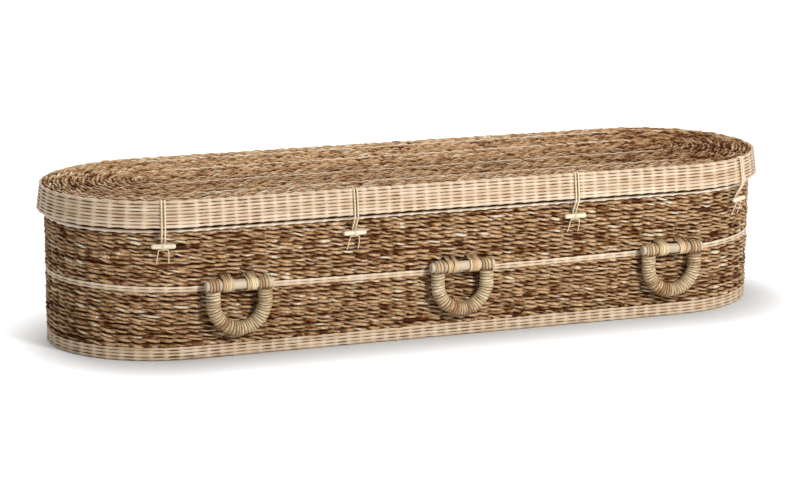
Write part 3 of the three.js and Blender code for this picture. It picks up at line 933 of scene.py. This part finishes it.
# %% Strand materials
def strand_material(name, stops, fibre_and_shade_colour, roughness, streak, spread, grain=(45, 3), bump=0.4,
                    gloss=0.3):
    """A plant fibre. The colour is the ramp of stops at tone + spread * (noise - 0.5), where
    the noise is stretched along the strand. streak moves the colour towards a dark colour between
    fine fibres, and the painted shade of each point moves it the same way.
    grain is the number of streaks for each metre along the strand and for each turn round it,
    and gloss is the strength of the shine."""
    material, tree = new_material(name)
    tone = add_node(tree, "ShaderNodeAttribute", {"attribute_name": "tone"})
    uv = add_node(tree, "ShaderNodeUVMap", {"uv_map": "strand"})
    place = add_node(tree, "ShaderNodeMapping", Vector=uv.outputs["UV"], Scale=(*grain, 1))
    noise = add_node(tree, "ShaderNodeTexNoise", Vector=place.outputs["Vector"], Scale=1.0,
                     Detail=4.0, Roughness=0.65)
    fine_place = add_node(tree, "ShaderNodeMapping", Vector=uv.outputs["UV"],
                          Scale=(grain[0] * 3, grain[1] * 5, 1))
    fine = add_node(tree, "ShaderNodeTexNoise", Vector=fine_place.outputs["Vector"], Scale=1.0,
                    Detail=3.0, Roughness=0.6)
    shift = add_node(tree, "ShaderNodeMapRange", Value=noise.outputs["Fac"], From_Min=0.25,
                     From_Max=0.75, To_Min=-spread / 2, To_Max=spread / 2)
    total = add_node(tree, "ShaderNodeMath", {"operation": "ADD"})
    tree.links.new(tone.outputs["Fac"], total.inputs[0])
    tree.links.new(shift.outputs["Result"], total.inputs[1])
    ramp = colour_ramp(tree, total.outputs[0], stops)
    dark = add_node(tree, "ShaderNodeMapRange", Value=fine.outputs["Fac"], From_Min=0.3,
                    From_Max=0.6, To_Min=1.0 - streak, To_Max=1.0)
    shade = add_node(tree, "ShaderNodeAttribute", {"attribute_name": "shade"})
    fibre_and_shade = add_node(tree, "ShaderNodeMath", {"operation": "MULTIPLY"})
    tree.links.new(dark.outputs["Result"], fibre_and_shade.inputs[0])
    tree.links.new(shade.outputs["Fac"], fibre_and_shade.inputs[1])
    colour = add_node(tree, "ShaderNodeMix", {"data_type": "RGBA"}, Factor=fibre_and_shade.outputs[0],
                      A=linear(fibre_and_shade_colour), B=ramp.outputs["Color"])
    relief = add_node(tree, "ShaderNodeBump", Height=fine.outputs["Fac"], Strength=bump,
                      Distance=0.001)
    shader = add_node(tree, "ShaderNodeBsdfPrincipled", Base_Color=colour.outputs["Result"],
                      Roughness=roughness, Specular_IOR_Level=gloss,
                      Normal=relief.outputs["Normal"])
    add_node(tree, "ShaderNodeOutputMaterial", Surface=shader.outputs["BSDF"])
    return material


# %% [markdown]
# ## Five plant fibres
#
# Their real fibres are 0.1 to 0.3 mm wide, too fine to show from here, so the finest streaks
# are drawn a millimetre or more wide.

# %% Materials
# Dried banana leaf, twisted by hand: matt, straw to dark brown, with a few reddish strands.
leaf = strand_material("dried_banana_leaf", [
    (0.0, "#4a2208"), (0.16, "#774722"), (0.32, "#9f7246"), (0.44, "#b28f6c"), (0.56, "#c49c70"),
    (0.68, "#d9b98d"), (0.78, "#bb7a48"), (0.9, "#e2cba6"), (1.0, "#ead6b8")],
    fibre_and_shade_colour="#1a0700", roughness=0.64, streak=0.58, spread=0.8, grain=(60, 3), gloss=0.1)
# Rattan core, peeled and drawn round: even, pale and smooth, with a dull satin shine.
rattan = strand_material("peeled_rattan", [
    (0.0, "#9f8367"), (0.25, "#c0a88a"), (0.6, "#cdb99f"), (1.0, "#dfd0ba")],
    fibre_and_shade_colour="#5f3f28", roughness=0.5, streak=0.12, spread=0.25, grain=(20, 2), bump=0.12)
# Split cane, wound wet and dried: straw coloured, with some red-brown strands of bark.
cane = strand_material("split_cane", [
    (0.0, "#80482c"), (0.22, "#a67c53"), (0.5, "#c3a67d"), (0.75, "#d8c098"),
    (1.0, "#eddcba")],
    fibre_and_shade_colour="#24150b", roughness=0.5, streak=0.3, spread=0.35, grain=(60, 3), bump=0.2)
# A peeled and sanded stick: pale wood with long faint grain.
peeled_wood = strand_material("peeled_wood", [
    (0.0, "#a09079"), (0.4, "#c2b39b"), (0.75, "#d9cab2"), (1.0, "#efe2cd")],
    fibre_and_shade_colour="#8a6b48", roughness=0.5, streak=0.1, spread=0.4, grain=(9, 5), bump=0.1)
# Twisted plant fibre cord: pale and without shine.
cord = strand_material("twisted_cord", [
    (0.0, "#a5875f"), (0.5, "#d8c5a2"), (1.0, "#ece0c6")],
    fibre_and_shade_colour="#5a4128", roughness=0.8, streak=0.15, spread=0.3, grain=(200, 3), bump=0.3)
print("five strand materials")

# %% [markdown]
# ## Dressing
#
# Each piece gets its material, rides with its body, and takes the place of its solid.


# %% Dress the pieces
def dress(piece, material, node, body="coffin"):
    """Gives a piece its material and its body, and hides its solid."""
    piece.data.materials.append(material)
    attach(piece, body)
    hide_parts(node)


for piece in (leaf_low, leaf_high, basket_core):
    dress(piece, leaf, "basket")
for piece in (base_rows, mid_rows, top_row):
    dress(piece, rattan, "basket")
for piece in (top_outer, top_inner, lid_core):
    dress(piece, leaf, "lid")
for piece in (rim_rows, rings):
    dress(piece, rattan, "lid")
for piece, kind, node, label in handle_pieces:
    wood = kind == "handle_bar"
    body = f"bail_{label}" if kind == "handle_bail" else "coffin"
    dress(piece, peeled_wood if wood else cane, node, body)
for piece, kind, node in closure_pieces:
    wood = kind == "toggle"
    dress(piece, peeled_wood if wood else cord, node)

# %% [markdown]
# ## Floor and light
#
# A pale floor, a soft key light from the front right, a broad weaker one above and behind that
# lays a soft shadow along the front edge, and a white surround. The floor glows a little, more
# with the distance from the coffin's plan: the length of (|x| - straight half, y) with nothing
# less than 0. The glow is painted light: it keeps the floor white and lightens the coffin's cast
# shadow away from it, so the coffin still has a shadow at its foot.


# %% Floor
REACH = 30.0
NEAR_END, NEAR_GLOW = 0.42, 0.5
FAR_START, FAR_END, FAR_GLOW = 1.2, 3.6, 0.8
floor_mesh = bpy.data.meshes.new("floor")
floor_mesh.from_pydata([(-REACH, -REACH, 0), (REACH, -REACH, 0), (REACH, REACH, 0),
                        (-REACH, REACH, 0)], [], [(0, 1, 2, 3)])
floor = add_object("floor", floor_mesh)
floor_material, tree = new_material("pale_floor")
coordinates = add_node(tree, "ShaderNodeTexCoord")
place = coordinates.outputs["Object"]
for operation, number in (("ABSOLUTE", 0.0), ("SUBTRACT", STRAIGHT_HALF), ("MAXIMUM", 0.0)):
    step = add_node(tree, "ShaderNodeVectorMath", {"operation": operation})
    step.inputs[1].default_value = (number, 0.0, 0.0)
    tree.links.new(place, step.inputs[0])
    place = step.outputs["Vector"]
away = add_node(tree, "ShaderNodeVectorMath", {"operation": "LENGTH"})
tree.links.new(place, away.inputs[0])
near = add_node(tree, "ShaderNodeMapRange", Value=away.outputs["Value"], From_Min=BODY_B,
                From_Max=NEAR_END, To_Min=0.0, To_Max=NEAR_GLOW)
glow = add_node(tree, "ShaderNodeMapRange", Value=away.outputs["Value"], From_Min=FAR_START,
                From_Max=FAR_END, To_Max=FAR_GLOW)
tree.links.new(near.outputs["Result"], glow.inputs["To Min"])
shader = add_node(tree, "ShaderNodeBsdfPrincipled", Base_Color=linear("#c4c4c4"), Roughness=0.8,
                  Emission_Color=linear("#ffffff"), Emission_Strength=glow.outputs["Result"])
add_node(tree, "ShaderNodeOutputMaterial", Surface=shader.outputs["BSDF"])
floor.data.materials.append(floor_material)


# %% Light
def area_light(name, place, aim, size, power):
    """A square soft light at a place, turned to its aim."""
    data = bpy.data.lights.new(name, "AREA")
    data.size, data.energy = size, power
    lamp = add_object(name, data)
    z = unit(np.array(place, float) - np.array(aim, float))
    x = unit(np.cross([0.0, 0.0, 1.0], z))
    turn = np.eye(4)
    turn[:3, 0], turn[:3, 1], turn[:3, 2], turn[:3, 3] = x, np.cross(z, x), z, place
    lamp.matrix_world = turn.T.tolist()
    return lamp


AIM_OF_LIGHT = (0, 0, 0.2)
area_light("key", (1.5, -4.5, 3.0), AIM_OF_LIGHT, size=1.0, power=300)
area_light("overhead", (-0.4, 1.6, 4.0), AIM_OF_LIGHT, size=2.6, power=135)
world = bpy.data.worlds.new("surround")
world.use_nodes = True
background = world.node_tree.nodes["Background"].inputs
background["Color"].default_value = (1, 1, 1, 1)
background["Strength"].default_value = 0.4
bpy.context.scene.world = world
bpy.context.scene.view_settings.view_transform = "Standard"
